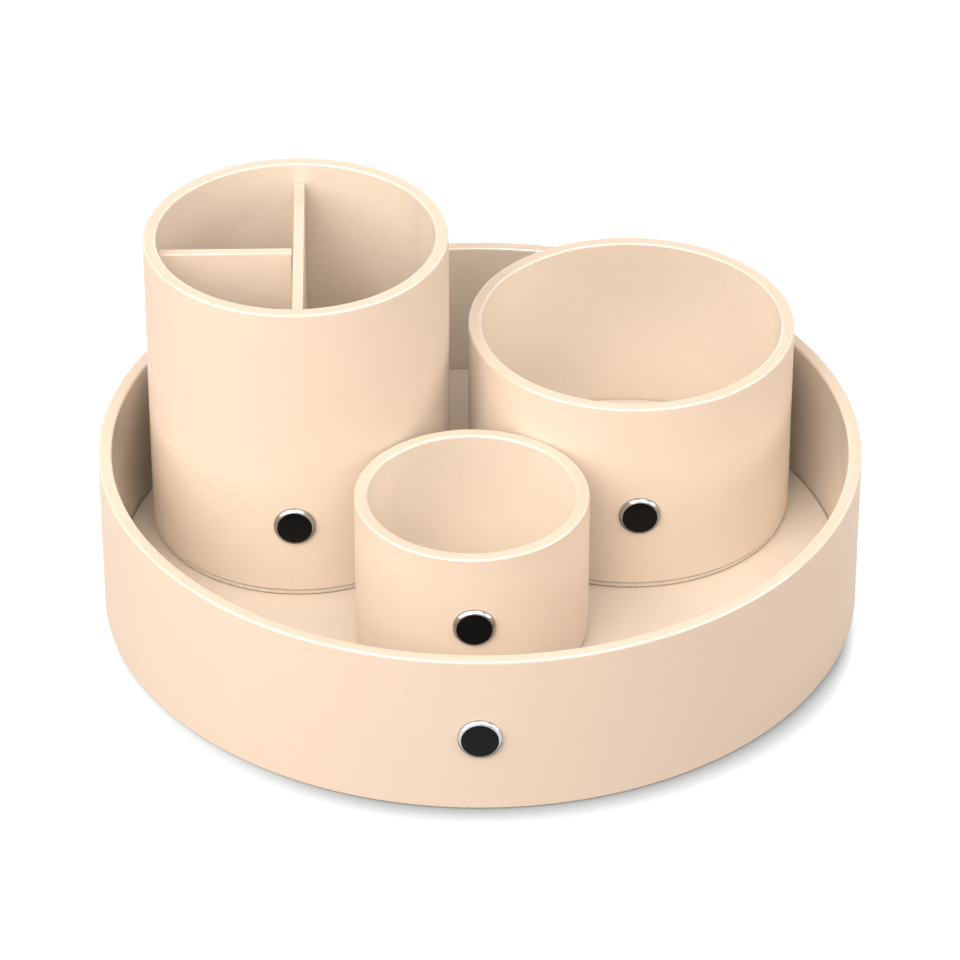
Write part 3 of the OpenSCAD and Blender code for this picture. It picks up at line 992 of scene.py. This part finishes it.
def makeBezel(vessel):
    node = vessel + "_badge_bezel"
    low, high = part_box(node)
    radius = (high.z - low.z) / 2
    back, front = along(node, vessel)
    depth, edgeRound = badgeLook["depth"], badgeLook["edgeRound"]
    origin = Vector((0, 0, 0))
    piece = addDisc(vessels[vessel]["name"] + "BadgeBezel", origin, radius, -depth, 0, badgeLook["sides"])
    pickFaces(facesUp)
    bpy.ops.mesh.inset(thickness=edgeRound + badgeLook["lip"])
    bpy.ops.mesh.extrude_region_move(TRANSFORM_OT_translate={"value": (0, 0, -badgeLook["pocket"])})
    pickFaces(facesDown)
    bpy.ops.mesh.inset(thickness=radius - badgeLook["postRadius"])
    bpy.ops.mesh.extrude_region_move(TRANSFORM_OT_translate={"value": (0, 0, back - front + depth)})
    roundEdges(onCircle(origin, radius, 0), edgeRound, badgeLook["roundSteps"], badgeLook["profile"])
    leaveEdit(piece)
    placeBadge(piece, vessel, node, front)
    markEdges(piece)
    middle, rise = middleOf(node), badgeLook["paintedShadeRise"]  # the lower half gets painted shade, standing for the darker reflection below
    markByLevel(piece, "paintedLowerShade", lambda level: max((middle.z - level) / radius, 0) ** rise)
    settle(piece, vessel, "polished_metal", finishes["polishedBezel"], node)


def makeInlay(vessel):
    node = vessel + "_badge_inlay"
    low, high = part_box(node)
    radius = (high.z - low.z) / 2
    back, front = along(node, vessel)
    crown, rings = badgeLook["crown"], badgeLook["crownRings"]
    piece = addDisc(vessels[vessel]["name"] + "BadgeInlay", Vector((0, 0, 0)), radius, back - front, -crown,
                    badgeLook["sides"])
    pickFaces(facesUp)
    for ring in range(rings):  # each ring in stands a little higher, on a low round crown
        nearer, further = (ring + 1) / (rings + 1), ring / (rings + 1)
        rise = crown * ((1 - (1 - nearer) ** 2) - (1 - (1 - further) ** 2))
        bpy.ops.mesh.inset(thickness=radius / (rings + 1), depth=rise)
    leaveEdit(piece, badgeLook["smoothAngle"])
    placeBadge(piece, vessel, node, front)
    settle(piece, vessel, "black_enamel", finishes["blackEnamel"], node)


for vessel in vessels:
    makeBezel(vessel)
    makeInlay(vessel)
print("badges made")


# The pieces inside, which keep their CAD shapes

def finishInside():
    for node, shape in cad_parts.items():
        if node.endswith(("_core", "_board")):
            shape.material_slots[0].material = finishes["pressedBoard"]
        elif node.endswith("_washer"):
            shape.material_slots[0].material = finishes["springSteel"]


finishInside()
print("inside pieces finished")
